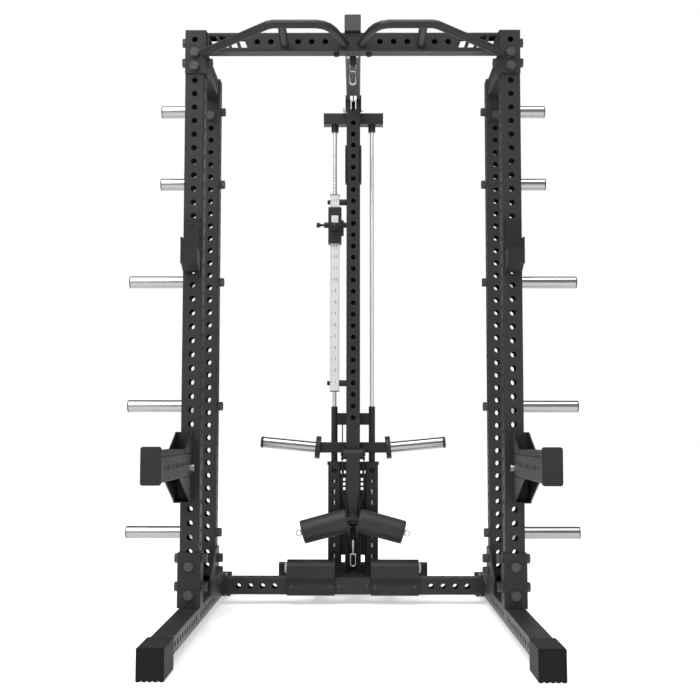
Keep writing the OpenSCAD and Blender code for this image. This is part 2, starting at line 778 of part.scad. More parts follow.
// Lower cable: two legs from the hinge lugs to a ferrule, then down the front of the low pulley
module low_row_cable() {
    color("#26272a") {
        for (s = [-1, 1])
            sweep([[s * leg_x, sling_y, leg_top_z], [s * leg_x, sling_y, 470],
                [s * (leg_x - 2), sling_y, 452], [s * 26, sling_y, 392], [s * 20, sling_y, 382],
                [s * 3.5, sling_y, ferrule_z]], cable_d - 0.6);
        rod_z(0, sling_y, ferrule_z - 16, 16, 9);
        rod_z(0, sling_y, low_hook_top + 10.2, ferrule_z - 26.2 + eps - low_hook_top, cable_d);
    }
}

// Cable of eight sides along points that never run parallel to Y
function unit(v) = v / norm(v);
function way(p, i) = unit((i < len(p) - 1 ? unit(p[i + 1] - p[i]) : [0, 0, 0])
    + (i > 0 ? unit(p[i] - p[i - 1]) : [0, 0, 0]));
module sweep(p, d, n = 8) {
    rings = [for (i = [0 : len(p) - 1]) let (t = way(p, i), u = unit(cross(t, [0, 1, 0])), w = cross(u, t))
        for (k = [0 : n - 1]) p[i] + d / 2 * (cos(360 * k / n) * u + sin(360 * k / n) * w)];
    sides = [for (i = [0 : len(p) - 2], k = [0 : n - 1]) let (a = i * n, b = (k + 1) % n)
        [a + k, a + b, a + n + b, a + n + k]];
    ends = [[for (k = [n - 1 : -1 : 0]) k], [for (k = [0 : n - 1]) (len(p) - 1) * n + k]];
    polyhedron(rings, concat(sides, ends));
}

// Snap hook hanging from (0, y, top): an oblong ring with a swivel eye, open for the gate
hook_l = 78;
module snap_hook_body(y, top) {
    rod = 7;
    hw = 11;
    z0 = top - hook_l + rod / 2;
    z1 = top - 24;
    translate([0, y, 0]) {
        rod_z(0, 0, top - 20, 20, 9);
        rod_z(0, 0, z1 - 2, 8, 12);
        bar([[-hw, 0, z1], [-hw, 0, z0 + hw]], rod);
        bar([[hw, 0, z1], [hw, 0, z1 - 12]], rod);
        bar([[hw, 0, z0 + hw], [hw, 0, z0 + hw + 4]], rod);
        translate([0, 0, z0 + hw]) rotate([90, 0, 0]) rotate([0, 0, 180])
            rotate_extrude(angle = 180, $fn = 32) translate([hw, 0]) circle(d = rod, $fn = 16);
        rod_x(-hw, 0, z1, 2 * hw, rod);
        for (s = [-1, 1]) translate([s * hw, 0, z1]) sphere(d = rod);
    }
}
module hook_gate(y, top) {
    rod = 5;
    hw = 11;
    z0 = top - hook_l + 3.5;
    z1 = top - 24;
    gate_z0 = z0 + hw + 5.5;
    color("#c9cbcd") rod_z(hw, y, gate_z0, z1 - 12.6 - gate_z0, rod);
}
lat_hook_top = hook_ball_z - 8;
module lat_hook() {
    color("#c9cbcd") snap_hook_body(hook_y, lat_hook_top + 4);
    color("#26272a") translate([0, hook_y, hook_ball_z]) sphere(d = 20);
}
module lat_hook_gate() { hook_gate(hook_y, lat_hook_top + 4); }
module low_hook() {
    color("#c9cbcd") {
        rod_z(0, sling_y, low_hook_top - 42, 42, 11);
        snap_hook_body(sling_y, low_hook_top - 40);
    }
    color("#26272a") translate([0, sling_y, low_hook_top + 2]) sphere(d = 16);
}
module low_hook_gate() { hook_gate(sling_y, low_hook_top - 40); }

// Grooved pulley on the X axis at (y, z)
module pulley(y, z, r) {
    color("#1e1f20")
    translate([-pulley_t / 2 + 0.5, y, z]) rotate([0, 90, 0]) difference() {
        cylinder(h = pulley_t - 1, r = r + 6);
        translate([0, 0, (pulley_t - 1) / 2]) rotate_extrude($fn = 64)
            polygon([[r - cable_d / 2 - 0.3, -2.6], [r + 7, -7], [r + 7, 7], [r - cable_d / 2 - 0.3, 2.6]]);
        translate([0, 0, -1]) cylinder(h = pulley_t + 2, d = 12.4);
        for (a = [0 : 60 : 300]) rotate([0, 0, a]) translate([r * 0.55, 0, -1])
            cylinder(h = pulley_t + 2, r = r * 0.16);
    }
}
module front_pulley() { pulley(front_pulley_y, pulley_z, groove_r); }
module rear_pulley() { pulley(rear_pulley_y, pulley_z, groove_r); }
module low_pulley() { pulley(low_pulley_y, low_pulley_z, low_groove_r); }

// ---------------------------------------------------------------- carriage

sleeve_d = 28;
module carriage() {
    plate_h = 52;
    beam_h = 46;
    beam_d = 44;
    horn_x = 152;
    beam_y = rod_y - 22;
    color("#343537")
    difference() {
        union() {
            for (s = [-1, 1])
                rod_z(s * rod_pitch / 2, rod_y, sleeve_bottom, sleeve_top - sleeve_bottom, sleeve_d);
            block(-rod_pitch / 2, rod_y - 8, plate_z0, rod_pitch, 12, plate_h);
            block(-18, drop_y - 9, plate_z0 + 26, 36, 22, 26);
            translate([-horn_x, beam_y, beam_z0]) rotate([90, 0, 90])
                linear_extrude(2 * horn_x) round_rect(beam_d, beam_h, 4);
            for (s = [-1, 1]) side_of(s)
                translate([horn_x - 8, rod_y, beam_z0 + 22]) rotate([0, 84.5, 0]) cylinder(h = 21, d = 98);
        }
        for (s = [-1, 1]) rod_z(s * rod_pitch / 2, rod_y, sleeve_bottom - 1, sleeve_top - sleeve_bottom + 2,
            rod_d + 0.6);
    }
    color("#26272a") rod_z(-47, rod_y - 2, beam_z0 + 40, plate_z0 - beam_z0 - 36, cable_d);
}
module carriage_horns() {
    horn_l = 240;
    color("#d5d7d9")
    for (s = [-1, 1]) side_of(s) translate([162, rod_y, beam_z0 + 23]) rotate([0, 84.5, 0]) {
        translate([0, 0, 3]) cylinder(h = horn_l - 3, d = peg_d);
        translate([0, 0, horn_l - eps]) cylinder(h = 4, d1 = peg_d, d2 = peg_d - 6);
    }
}

// ---------------------------------------------------------------- thigh support

// Cheeks and cross pin on the front of the post that carry the arm
module thigh_hinge_bracket() {
    cheek_x = 43;
    color("#2b2c2e") {
        for (s = [-1, 1]) side_of(s) difference() {
            union() {
                yz_plate(cheek_x, 5, [[post_y + 40, hinge_z - 30], [post_y + 40, hinge_z + 30],
                    [hinge_y - 6, hinge_z + 12], [hinge_y - 6, hinge_z - 12]]);
                block(post_w / 2, post_y + 2, hinge_z - 24, cheek_x - post_w / 2 + eps, 36, 48);
                block(cheek_x - 1, sling_y - 6, leg_top_z, 10, 12, 12);
            }
            rod_x(cheek_x - 1, hinge_y, hinge_z, 8, 12.2);
        }
        rod_x(-cheek_x - 9, hinge_y, hinge_z, 2 * cheek_x + 18, 12);
        for (s = [-1, 1]) side_of(s) rod_x(cheek_x + 5, hinge_y, hinge_z, 5, 24);
    }
}

// Arm that hangs from the hinge and carries the two foam rollers
axle_d = 24;
module thigh_arm() {
    arm_t = 32;
    top_w = 27;
    low_w = 17;
    y1 = hinge_y + 14;
    color("#333436")
    difference() {
        union() {
            rod_x(-42, hinge_y, hinge_z, 84, 38);
            translate([0, y1, 0]) rotate([90, 0, 0]) linear_extrude(arm_t)
                polygon([[-top_w, hinge_z], [top_w, hinge_z], [top_w, hinge_z - 110],
                    [low_w, hub_z + 30], [low_w, hub_z - 10], [-low_w, hub_z - 10],
                    [-low_w, hub_z + 30], [-top_w, hinge_z - 110]]);
            translate([0, hub_y - 6, hub_z]) rotate([-90, 0, 0]) cylinder(h = 50, d = 46);
            for (s = [-1, 1]) side_of(s) translate([0, hub_y, hub_z]) rotate([0, 90 + roller_tilt, 0])
                cylinder(h = roller_len + 30, d = axle_d);
        }
        rod_x(-43, hinge_y, hinge_z, 86, 12.6);
    }
    color("#18191a") translate([0, hub_y - 20, hub_z + 6]) rotate([-90, 0, 0]) cylinder(h = 16, d = 26);
    color("#b8babc") for (s = [-1, 1]) side_of(s)
        translate([0, hub_y, hub_z]) rotate([0, 90 + roller_tilt, 0]) translate([0, 0, roller_len + 40])
            rotate([90, 0, 0]) rotate_extrude() translate([11, 0]) circle(d = 3, $fn = 16);
}

// Foam roller on its tilted axle
module thigh_roller() {
    color("#232425")
    translate([0, hub_y, hub_z]) rotate([0, 90 + roller_tilt, 0]) difference() {
        translate([0, 0, 24]) cylinder(h = roller_len, r = roller_r);
        translate([0, 0, 20]) cylinder(h = roller_len + 10, d = axle_d + 0.8);
    }
}
module thigh_roller_left() { side_of(-1) thigh_roller(); }
module thigh_roller_right() { thigh_roller(); }

// ---------------------------------------------------------------- J-cups

// Cup in front of the upright: back pad, cradle floor, front lip, side flange and lock pin
module jcup() {
    x0 = hx - cup_w / 2;
    lip_y = front_y - 92;
    flange_y = front_y + 50;
    color("#2a2b2d") {
        yz_plate(x0, cup_w, [[front_y - 0.4, cup_z0 + cup_h], [front_y - 22, cup_z0 + cup_h],
            [front_y - 26, cup_z0 + 76], [front_y - 34, cup_z0 + 62], [lip_y + 26, cup_z0 + 58],
            [lip_y + 20, cup_z0 + 76], [lip_y, cup_z0 + 76], [lip_y, cup_z0 + 26],
            [front_y - 40, cup_z0], [front_y - 0.4, cup_z0]]);
        yz_plate(outer_x + 0.4, 6, [[front_y - 22, cup_z0 + 126], [flange_y, cup_z0 + 126],
            [flange_y, cup_z0 + 46], [front_y - 22, cup_z0 + 30]]);
        block(x0 + cup_w - eps, front_y - 22, cup_z0 + 34, outer_x + 6.4 - x0 - cup_w, 21.6, 88);
        rod_y(hx, front_y - 1, 1390, tube - 6, bolt_d);
    }
}
module jcup_left() { side_of(-1) jcup(); }
module jcup_right() { jcup(); }

// ---------------------------------------------------------------- spotter arms

module spotter_arm() {
    ax0 = arm_x - arm_w / 2;
    plate_y = front_y - plate_t - 0.4;
    hook_t = 8;
    arm_len = plate_y - arm_front_y;
    arm_z1 = arm_z0 + arm_h;
    color("#38393b")
    difference() {
        union() {
            tube_y(ax0, arm_front_y, arm_z0, arm_w, arm_len + eps, arm_h);
            block(inner_x, plate_y, arm_plate_z0, ax0 + arm_w - inner_x, plate_t,
                arm_plate_z1 - arm_plate_z0);
            block(outer_x + 0.4, plate_y, arm_plate_z0, hook_t, tube - 4, arm_plate_z1 - arm_plate_z0);
            for (x = [ax0, ax0 + arm_w - 5]) {
                yz_plate(x, 5, [[plate_y + eps, arm_plate_z1], [plate_y - 20, arm_plate_z1],
                    [plate_y - 60, arm_plate_z1 - 20], [plate_y - 150, arm_z1 + 16 - eps],
                    [plate_y - 150, arm_z1 - eps], [plate_y + eps, arm_z1 - eps]]);
                yz_plate(x, 5, [[plate_y + eps, arm_plate_z0], [plate_y - 40, arm_plate_z0],
                    [plate_y - 60, arm_plate_z0 + 10], [plate_y - 265, arm_z0 + eps],
                    [plate_y + eps, arm_z0 + eps]]);
            }
            block(ax0, plate_y - 50, arm_plate_z0, arm_w, 50 + eps, 5);
            for (z = [540, 640]) rod_y(hx, plate_y, z, tube - 10, bolt_d);
        }
        for (k = [0 : 9]) rod_x(ax0 - 1, front_y - 567 + pitch * k, arm_z0 + arm_h / 2 + 4, arm_w + 2, 17);
        rod_x(ax0 - 1, front_y - 48, 587, arm_w + 2, 22.6);
    }
    color("#1d1e1f") {
        block(ax0 + 1, arm_front_y + 2, arm_z1, arm_w - 2, arm_len - 170, 15);
        translate([ax0 - 1, arm_front_y, arm_z0 - 6]) rotate([90, 0, 0])
            linear_extrude(10) round_rect(arm_w + 2, 115, 8);
    }
}
module spotter_arm_left() { side_of(-1) spotter_arm(); }
module spotter_arm_right() { spotter_arm(); }

// Plated lock pin across the root of the arm
module spotter_pin() {
    ax0 = arm_x - arm_w / 2;
    color("#c9cbcd") {
        rod_x(ax0 - 11, front_y - 48, 587, arm_w + 20, 22);
        rod_x(ax0 - 11, front_y - 48, 587, 8, 26);
    }
}
module spotter_pin_left() { side_of(-1) spotter_pin(); }
module spotter_pin_right() { spotter_pin(); }

front_upright_left();
front_upright_right();
rear_upright_left();
rear_upright_right();
end_caps();
base_foot_left();
base_foot_right();
foot_boots();
foot_brackets();
top_crossmember();
top_side_beams();
pull_up_bar_left();
pull_up_bar_right();
boom();
front_pulley_bracket();
centre_post();
post_plates();
top_crosspiece();
guide_rods();
rod_bumpers();
tower_channels();
tower_back_plate();
tower_base();
rear_crossmember();
foot_rest_left();
foot_rest_right();
scale_rail();
scale_rail_fittings();
weight_pegs();
peg_caps();
frame_bolts();
frame_nuts();
small_screws();
pulley_axles();
lat_cable_run();
lat_cable_front_drop();
lat_cable_rear_drop();
low_row_cable();
thigh_hinge_bracket();
carriage();
carriage_horns();
lat_hook();
lat_hook_gate();
low_hook();
low_hook_gate();
front_pulley();
rear_pulley();
low_pulley();
thigh_arm();
thigh_roller_left();
thigh_roller_right();
slider();
slider_pin();
slider_knob();
jcup_left();
jcup_right();
spotter_arm_left();
spotter_arm_right();
spotter_pin_left();
spotter_pin_right();
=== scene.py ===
"""Power cage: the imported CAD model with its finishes, soft pieces, cables and scale marks."""

import json
import math

import bmesh
import bpy
from mathutils import Matrix, Vector


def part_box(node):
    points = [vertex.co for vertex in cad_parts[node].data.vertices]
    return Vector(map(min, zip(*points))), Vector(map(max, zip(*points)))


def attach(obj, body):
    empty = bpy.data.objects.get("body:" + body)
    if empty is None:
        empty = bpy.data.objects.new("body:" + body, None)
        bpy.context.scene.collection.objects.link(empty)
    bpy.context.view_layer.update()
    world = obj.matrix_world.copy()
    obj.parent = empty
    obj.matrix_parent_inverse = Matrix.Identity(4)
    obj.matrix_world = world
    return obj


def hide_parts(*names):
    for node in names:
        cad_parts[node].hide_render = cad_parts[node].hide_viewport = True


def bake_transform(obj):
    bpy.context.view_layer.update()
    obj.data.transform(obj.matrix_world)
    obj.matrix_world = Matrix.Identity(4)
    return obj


MM = 0.001
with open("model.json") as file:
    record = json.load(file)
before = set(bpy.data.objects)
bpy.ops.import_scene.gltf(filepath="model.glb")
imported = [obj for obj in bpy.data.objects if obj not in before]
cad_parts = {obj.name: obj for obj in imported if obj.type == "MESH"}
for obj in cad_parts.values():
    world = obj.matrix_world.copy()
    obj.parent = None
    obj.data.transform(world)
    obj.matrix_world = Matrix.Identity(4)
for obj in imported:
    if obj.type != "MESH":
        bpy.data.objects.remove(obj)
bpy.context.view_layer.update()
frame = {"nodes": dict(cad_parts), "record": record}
nodes = frame["nodes"]


# ------------------------------------------------------------------ materials

# The middle range of Blender's noise, and how the fine grain darkens and lightens the paint
NOISE_LOW, NOISE_HIGH = 0.3, 0.7
SPECK_SHARE, SPECK_DARK, SPECK_LIGHT = 0.35, 0.75, 1.15
LEAST_ROUGH = 0.03

def socket(shader, name, value):
    shader.inputs[name].default_value = value


def surface(name, color, rough, metallic=0.0, grain=900.0, bump=0.05, grain_depth=0.0004,
            tone=0.12, rough_tone=0.08, patch=7.0, stretch=(1, 1, 1), edge=0.0,
            sheen=0.0, wave=None, shine=0.3):
    """Principled material with patchy tone and roughness, a fine grain or strands, soft edges if asked.

    tone and rough_tone are how far the colour and roughness stray from their middle values.
    """
    mat = bpy.data.materials.new(name)
    mat.use_nodes = True
    nt = mat.node_tree
    shader = nt.nodes["Principled BSDF"]
    socket(shader, "Metallic", metallic)
    socket(shader, "Sheen Weight", sheen)
    socket(shader, "Specular IOR Level", shine)
    coords = nt.nodes.new("ShaderNodeTexCoord")
    mapping = nt.nodes.new("ShaderNodeMapping")
    mapping.inputs["Scale"].default_value = stretch
    nt.links.new(coords.outputs["Object"], mapping.inputs["Vector"])

    def noise(scale, detail):
        n = nt.nodes.new("ShaderNodeTexNoise")
        n.inputs["Scale"].default_value = scale
        n.inputs["Detail"].default_value = detail
        nt.links.new(mapping.outputs["Vector"], n.inputs["Vector"])
        return n

    broad = noise(patch, 4.0)
    fine = noise(grain, 2.0)
    ramp = nt.nodes.new("ShaderNodeValToRGB")
    low, high = ramp.color_ramp.elements
    low.position, high.position = NOISE_LOW, NOISE_HIGH
    low.color = [c * (1 - tone) for c in color] + [1]
    high.color = [min(1, c * (1 + tone)) for c in color] + [1]
    nt.links.new(broad.outputs["Fac"], ramp.inputs["Fac"])
    speck = nt.nodes.new("ShaderNodeMix")
    speck.data_type = "RGBA"
    speck.blend_type = "MULTIPLY"
    speck.inputs["Factor"].default_value = SPECK_SHARE
    shade = nt.nodes.new("ShaderNodeMapRange")
    for key, value in (("From Min", NOISE_LOW), ("From Max", NOISE_HIGH), ("To Min", SPECK_DARK),
                       ("To Max", SPECK_LIGHT)):
        shade.inputs[key].default_value = value
    nt.links.new(fine.outputs["Fac"], shade.inputs["Value"])
    nt.links.new(ramp.outputs["Color"], speck.inputs[6])
    nt.links.new(shade.outputs["Result"], speck.inputs[7])
    nt.links.new(speck.outputs[2], shader.inputs["Base Color"])
    gloss = nt.nodes.new("ShaderNodeMapRange")
    gloss.inputs["To Min"].default_value = max(LEAST_ROUGH, rough - rough_tone)
    gloss.inputs["To Max"].default_value = min(1.0, rough + rough_tone)
    nt.links.new(broad.outputs["Fac"], gloss.inputs["Value"])
    nt.links.new(gloss.outputs["Result"], shader.inputs["Roughness"])
    relief = nt.nodes.new("ShaderNodeBump")
    relief.inputs["Strength"].default_value = bump
    relief.inputs["Distance"].default_value = grain_depth
    height = fine.outputs["Fac"]
    if wave:
        strands = nt.nodes.new("ShaderNodeTexWave")
        strands.wave_type = "BANDS"
        strands.bands_direction = "DIAGONAL"
        strands.inputs["Scale"].default_value = wave
        strands.inputs["Distortion"].default_value = 0.4
        nt.links.new(coords.outputs["Object"], strands.inputs["Vector"])
        height = strands.outputs["Fac"]
    nt.links.new(height, relief.inputs["Height"])
    if edge:
        soft = nt.nodes.new("ShaderNodeBevel")
        soft.samples = 4
        soft.inputs["Radius"].default_value = edge
        nt.links.new(soft.outputs["Normal"], relief.inputs["Normal"])
    nt.links.new(relief.outputs["Normal"], shader.inputs["Normal"])
    return mat


EDGE = 2.0 * MM  # radius that the shading gives to a sharp edge of painted steel
frame_paint = surface("frame_powder", (0.0185, 0.0188, 0.0195), 0.46, bump=0.12, edge=EDGE)
dark_paint = surface("dark_powder", (0.0165, 0.0168, 0.0174), 0.48, bump=0.14, edge=EDGE)
boom_paint = surface("boom_powder", (0.055, 0.056, 0.058), 0.45, bump=0.12, edge=EDGE)
saddle_plastic = surface("saddle_plastic", (0.02, 0.02, 0.021), 0.6, grain=500, bump=0.2)
boot_rubber = surface("boot_rubber", (0.0075, 0.0075, 0.0078), 0.8, grain=420, bump=0.35,
                      tone=0.2, edge=EDGE, shine=0.15)
# A lighter copy of the boot rubber for the top and side faces: painted light, standing in for the lamps
# lighting those faces more brightly than the front.
boot_painted_light = surface("boot_painted_light", (0.017, 0.017, 0.0175), 0.7, grain=420, bump=0.35, tone=0.2,
                    edge=EDGE)
foam = surface("roller_foam", (0.0105, 0.0105, 0.011), 0.5, grain=650, bump=0.4, grain_depth=0.0008,
               tone=0.2, sheen=0.1, shine=0.45)
black_plastic = surface("black_plastic", (0.0135, 0.0135, 0.014), 0.5, grain=700, bump=0.1, edge=EDGE)
bright_chrome = surface("bright_chrome", (0.36, 0.364, 0.37), 0.15, metallic=1.0, grain=60, bump=0.02,
                        tone=0.03, rough_tone=0.05, stretch=(1, 9, 9))
rod_chrome = surface("rod_chrome", (0.86, 0.865, 0.87), 0.3, metallic=0.6, grain=20, bump=0.0,
                     tone=0.01, rough_tone=0.02, stretch=(9, 9, 1))
zinc = surface("zinc", (0.62, 0.625, 0.63), 0.3, metallic=1.0, grain=300, bump=0.06, tone=0.08)
bolt_steel = surface("bolt_steel", (0.07, 0.071, 0.073), 0.42, metallic=0.5, grain=420, bump=0.1,
                     tone=0.2, edge=0.8 * MM)
rail_white = surface("rail_white", (0.6, 0.6, 0.6), 0.4, grain=800, bump=0.06, tone=0.03, edge=EDGE)
cable_skin = surface("cable_skin", (0.03, 0.03, 0.032), 0.5, wave=240.0, bump=0.5,
                     grain_depth=0.0006)
mark_ink = surface("mark_ink", (0.10, 0.10, 0.105), 0.6, grain=900, bump=0.02)
liner_plastic = surface("liner_plastic", (0.0085, 0.0085, 0.009), 0.45, grain=380, bump=0.15)
disc_grey = surface("disc_grey", (0.42, 0.42, 0.43), 0.45, grain=500, bump=0.08)
jcup_black = surface("jcup_black", (0.0095, 0.0095, 0.01), 0.5, bump=0.12, edge=EDGE)
floor_white = surface("floor_white", (0.86, 0.86, 0.86), 0.55, grain=30, bump=0.01, tone=0.01,
                      patch=0.4)

FINISH = {"frame_paint": frame_paint, "dark_paint": dark_paint, "boom_paint": boom_paint,
          "black_plastic": black_plastic, "black_rubber": boot_rubber, "bright_chrome": bright_chrome,
          "zinc_steel": zinc, "bolt_steel": bolt_steel, "white_rail": rail_white,
          "cable_black": cable_skin}
for part in frame["record"]["subparts"]:
    for slot in nodes[part["node"]].material_slots:
        slot.material = FINISH[part["material_slot"]]
nodes["guide_rods"].material_slots[0].material = rod_chrome
for name in ("jcup_left", "jcup_right"):
    nodes[name].material_slots[0].material = jcup_black
for name in ("rod_bumpers", "small_screws"):
    nodes[name].material_slots[0].material = black_plastic
# A faint glow keeps the floor as white as the backdrop without washing out its shadows
glow = floor_white.node_tree.nodes["Principled BSDF"]
socket(glow, "Emission Color", (1, 1, 1, 1))
socket(glow, "Emission Strength", 0.5)


def second_finish(node, mat, test):
    """The faces of a CAD node whose centre passes the test take a second material."""
    mesh = nodes[node].data
    mesh.materials.append(mat)
    index = len(mesh.materials) - 1
    for poly in mesh.polygons:
        if test(poly.center / MM):
            poly.material_index = index


def box_mm(node):
    return [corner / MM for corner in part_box(node)]


# Landmarks of the frame in millimetres, from the CAD
upright_low, upright_high = box_mm("front_upright_right")
front_y = upright_low.y
hx = (upright_low.x + upright_high.x) / 2
post_y = box_mm("centre_post")[0].y
SIDES = (("left", -1), ("right", 1))

# Heights and depths, in mm, where a node's second finish starts
ARM_CAP_T, ARM_STRIP_Z, ARM_STRIP_BACK = 10.5, 640.5, 160
BOOM_CAP_Z, SADDLE_Y, RING_PIN_X, LAT_BALL_Z, LOW_BALL_Z = 2176, -50, 222, 2092, 248
arm_cap_y = box_mm("spotter_arm_right")[0].y + ARM_CAP_T
boot_front_y = box_mm("foot_boots")[0].y

for side, k in SIDES:
    second_finish("spotter_arm_" + side, black_plastic,
                  lambda c: c.y < arm_cap_y or (c.z > ARM_STRIP_Z and c.y < front_y - ARM_STRIP_BACK))
# Painted light: every boot face except the front takes the lighter rubber copy, for the brighter light on
# the top and sides.
second_finish("foot_boots", boot_painted_light, lambda c: c.y > boot_front_y + 1)
second_finish("end_caps", boom_paint, lambda c: c.z > BOOM_CAP_Z)
second_finish("front_pulley_bracket", saddle_plastic, lambda c: c.y < SADDLE_Y)
second_finish("front_pulley_bracket", zinc, lambda c: c.y > SADDLE_Y)
# The window of the slider, through which the scale is read
second_finish("slider", rail_white,
              lambda c: abs(c.x + 81) < 15.2 and c.y < 720 and 1629.5 < c.z < 1661.5)
second_finish("thigh_arm", bolt_steel, lambda c: abs(c.x) > RING_PIN_X)
second_finish("lat_hook", black_plastic, lambda c: c.z > LAT_BALL_Z)
second_finish("low_hook", black_plastic, lambda c: c.z > LOW_BALL_Z)


# ------------------------------------------------------------------ shapes

def from_bmesh(name, bm, mat, body, smooth=True):
    mesh = bpy.data.meshes.new(name)
    bmesh.ops.recalc_face_normals(bm, faces=bm.faces)
    bm.to_mesh(mesh)
    bm.free()
    if smooth:
        for poly in mesh.polygons:
            poly.use_smooth = True
    mesh.materials.append(mat)
    obj = bpy.data.objects.new(name, mesh)
    bpy.context.scene.collection.objects.link(obj)
    if body:
        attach(obj, body)
    return obj


def lathe(name, profile, origin, axis, mat, body, turns=64):
    """Turned shape: profile is (distance along the axis, radius) in mm, closed on itself or on the axis."""
    turn = Vector(axis).normalized().to_track_quat("Z", "Y").to_matrix()
    bm = bmesh.new()
    rings = []
    for along, radius in profile:
        if radius < 1e-6:
            rings.append([bm.verts.new(turn @ Vector((0, 0, along)) * MM + Vector(origin) * MM)])
            continue
        rings.append([bm.verts.new((turn @ Vector((radius * math.cos(2 * math.pi * i / turns),
                                                   radius * math.sin(2 * math.pi * i / turns),
                                                   along)) + Vector(origin)) * MM)
                      for i in range(turns)])
    for a, b in zip(rings, rings[1:]):
        for i in range(turns):
            j = (i + 1) % turns
            if len(a) == 1:
                bm.faces.new((a[0], b[i], b[j]))
            elif len(b) == 1:
                bm.faces.new((a[i], b[0], a[j]))
            else:
                bm.faces.new((a[i], b[i], b[j], a[j]))
    return from_bmesh(name, bm, mat, body)


def prism_x(name, outline, x0, x1, mat, body, round_mm=0.8):
    """Outline of (y, z) points in mm, extruded from x0 to x1, with rounded edges."""
    bm = bmesh.new()
    ends = [[bm.verts.new(Vector((x, y, z)) * MM) for y, z in outline] for x in (x0, x1)]
    bm.faces.new(ends[0])
    bm.faces.new(ends[1][::-1])
    n = len(outline)
    for i in range(n):
        j = (i + 1) % n
        bm.faces.new((ends[0][i], ends[1][i], ends[1][j], ends[0][j]))
    bmesh.ops.recalc_face_normals(bm, faces=bm.faces)
    bmesh.ops.bevel(bm, geom=list(bm.edges), offset=round_mm * MM, segments=2, affect="EDGES",
                    clamp_overlap=True)
    return from_bmesh(name, bm, mat, body, smooth=False)


def tube(name, points, radius, mat, body, around=16):
    """Round tube through points in mm; the ring plane follows the run of the points."""
    bm = bmesh.new()
    pts = [Vector(p) for p in points]
    rings = []
    for i, p in enumerate(pts):
        way = (pts[min(i + 1, len(pts) - 1)] - pts[max(i - 1, 0)]).normalized()
        side = way.cross(Vector((1, 0, 0)))
        if side.length < 0.01:
            side = way.cross(Vector((0, 1, 0)))
        side.normalize()
        up = way.cross(side)
        rings.append([bm.verts.new((p + radius * (math.cos(2 * math.pi * k / around) * side
                                                  + math.sin(2 * math.pi * k / around) * up)) * MM)
                      for k in range(around)])
    for a, b in zip(rings, rings[1:]):
        for k in range(around):
            j = (k + 1) % around
            bm.faces.new((a[k], b[k], b[j], a[j]))
    bm.faces.new(rings[0])
    bm.faces.new(rings[-1][::-1])
    return from_bmesh(name, bm, mat, body)


# ------------------------------------------------------------------ foam rollers

HUB = (0, post_y - 68, 346)  # where the two tilted axles meet
TILT = math.radians(15)
ROLLER_START, ROLLER_LEN, ROLLER_R, AXLE_R = 24, 198, 50, 12.3
CROWN_STEPS, CROWN = 14, 0.5
for side, k in SIDES:
    axis = (k * math.cos(TILT), 0, -math.sin(TILT))
    a, b = ROLLER_START, ROLLER_START + ROLLER_LEN
    profile = [(a + 1.5, AXLE_R), (a + 0.6, 20), (a, 30), (a, 46), (a + 0.8, 48), (a + 3, 49.3)]
    for i in range(CROWN_STEPS + 1):
        t = i / CROWN_STEPS
        profile.append((a + 12 + t * (ROLLER_LEN - 24),
                        ROLLER_R - CROWN + CROWN * math.sin(math.pi * t)))
    profile += [(b - 3, 49.3), (b - 0.8, 48), (b, 46), (b, 30), (b - 0.6, 20), (b - 1.5, AXLE_R)]
    profile.append(profile[0])
    roller = lathe("foam_roller_" + side, profile, HUB, axis, foam, "thigh_roller_" + side)
    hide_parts("thigh_roller_" + side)
    washer = [(b + 0.6, AXLE_R), (b + 0.6, 17), (b + 1.2, 18), (b + 2.6, 18), (b + 3.2, 17),
              (b + 3.2, AXLE_R)]
    washer.append(washer[0])
    lathe("roller_washer_" + side, washer, HUB, axis, zinc, "thigh_arm")

# ------------------------------------------------------------------ cable drops of the moving parts

CABLE_R, CABLE_STEPS = 2.5, 24


def drop(name, node):
    """A straight vertical run of cable in place of the CAD drop, from its bottom to its top, between the
    rack and the body it pulls.
    """
    low, high = box_mm(node)
    y = (low.y + high.y) / 2
    pts = [(0, y, low.z + (high.z - low.z) * i / CABLE_STEPS) for i in range(CABLE_STEPS + 1)]
    obj = tube(name, pts, CABLE_R, cable_skin, None)
    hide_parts(node)
    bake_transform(obj)


drop("lat_cable_front", "lat_cable_front_drop")
drop("lat_cable_rear", "lat_cable_rear_drop")

# ------------------------------------------------------------------ J-cup liners

# Side view of the liner: distance in front of the upright, and height
LINER = [(22.05, 1472), (26.05, 1361), (34.2, 1346.6), (65.6, 1342.8), (71.4, 1358.5),
         (68.2, 1359.4), (63.4, 1346.6), (36.0, 1350), (29.2, 1362), (25.3, 1472)]
LINER_HALF = 27
for side, k in SIDES:
    x0, x1 = sorted((k * (hx - LINER_HALF), k * (hx + LINER_HALF)))
    prism_x("jcup_liner_" + side, [(front_y - back, z) for back, z in LINER], x0, x1, liner_plastic,
            "jcup_" + side, 0.5)
    lathe("jcup_screw_" + side, [(-2.4, 0), (-2.4, 5), (-1.6, 6), (0.5, 6), (0.5, 0)],
          (k * hx, front_y - 25.5, 1452), (0, 1, 0), jcup_black, "jcup_" + side, 24)

# ------------------------------------------------------------------ foot rests

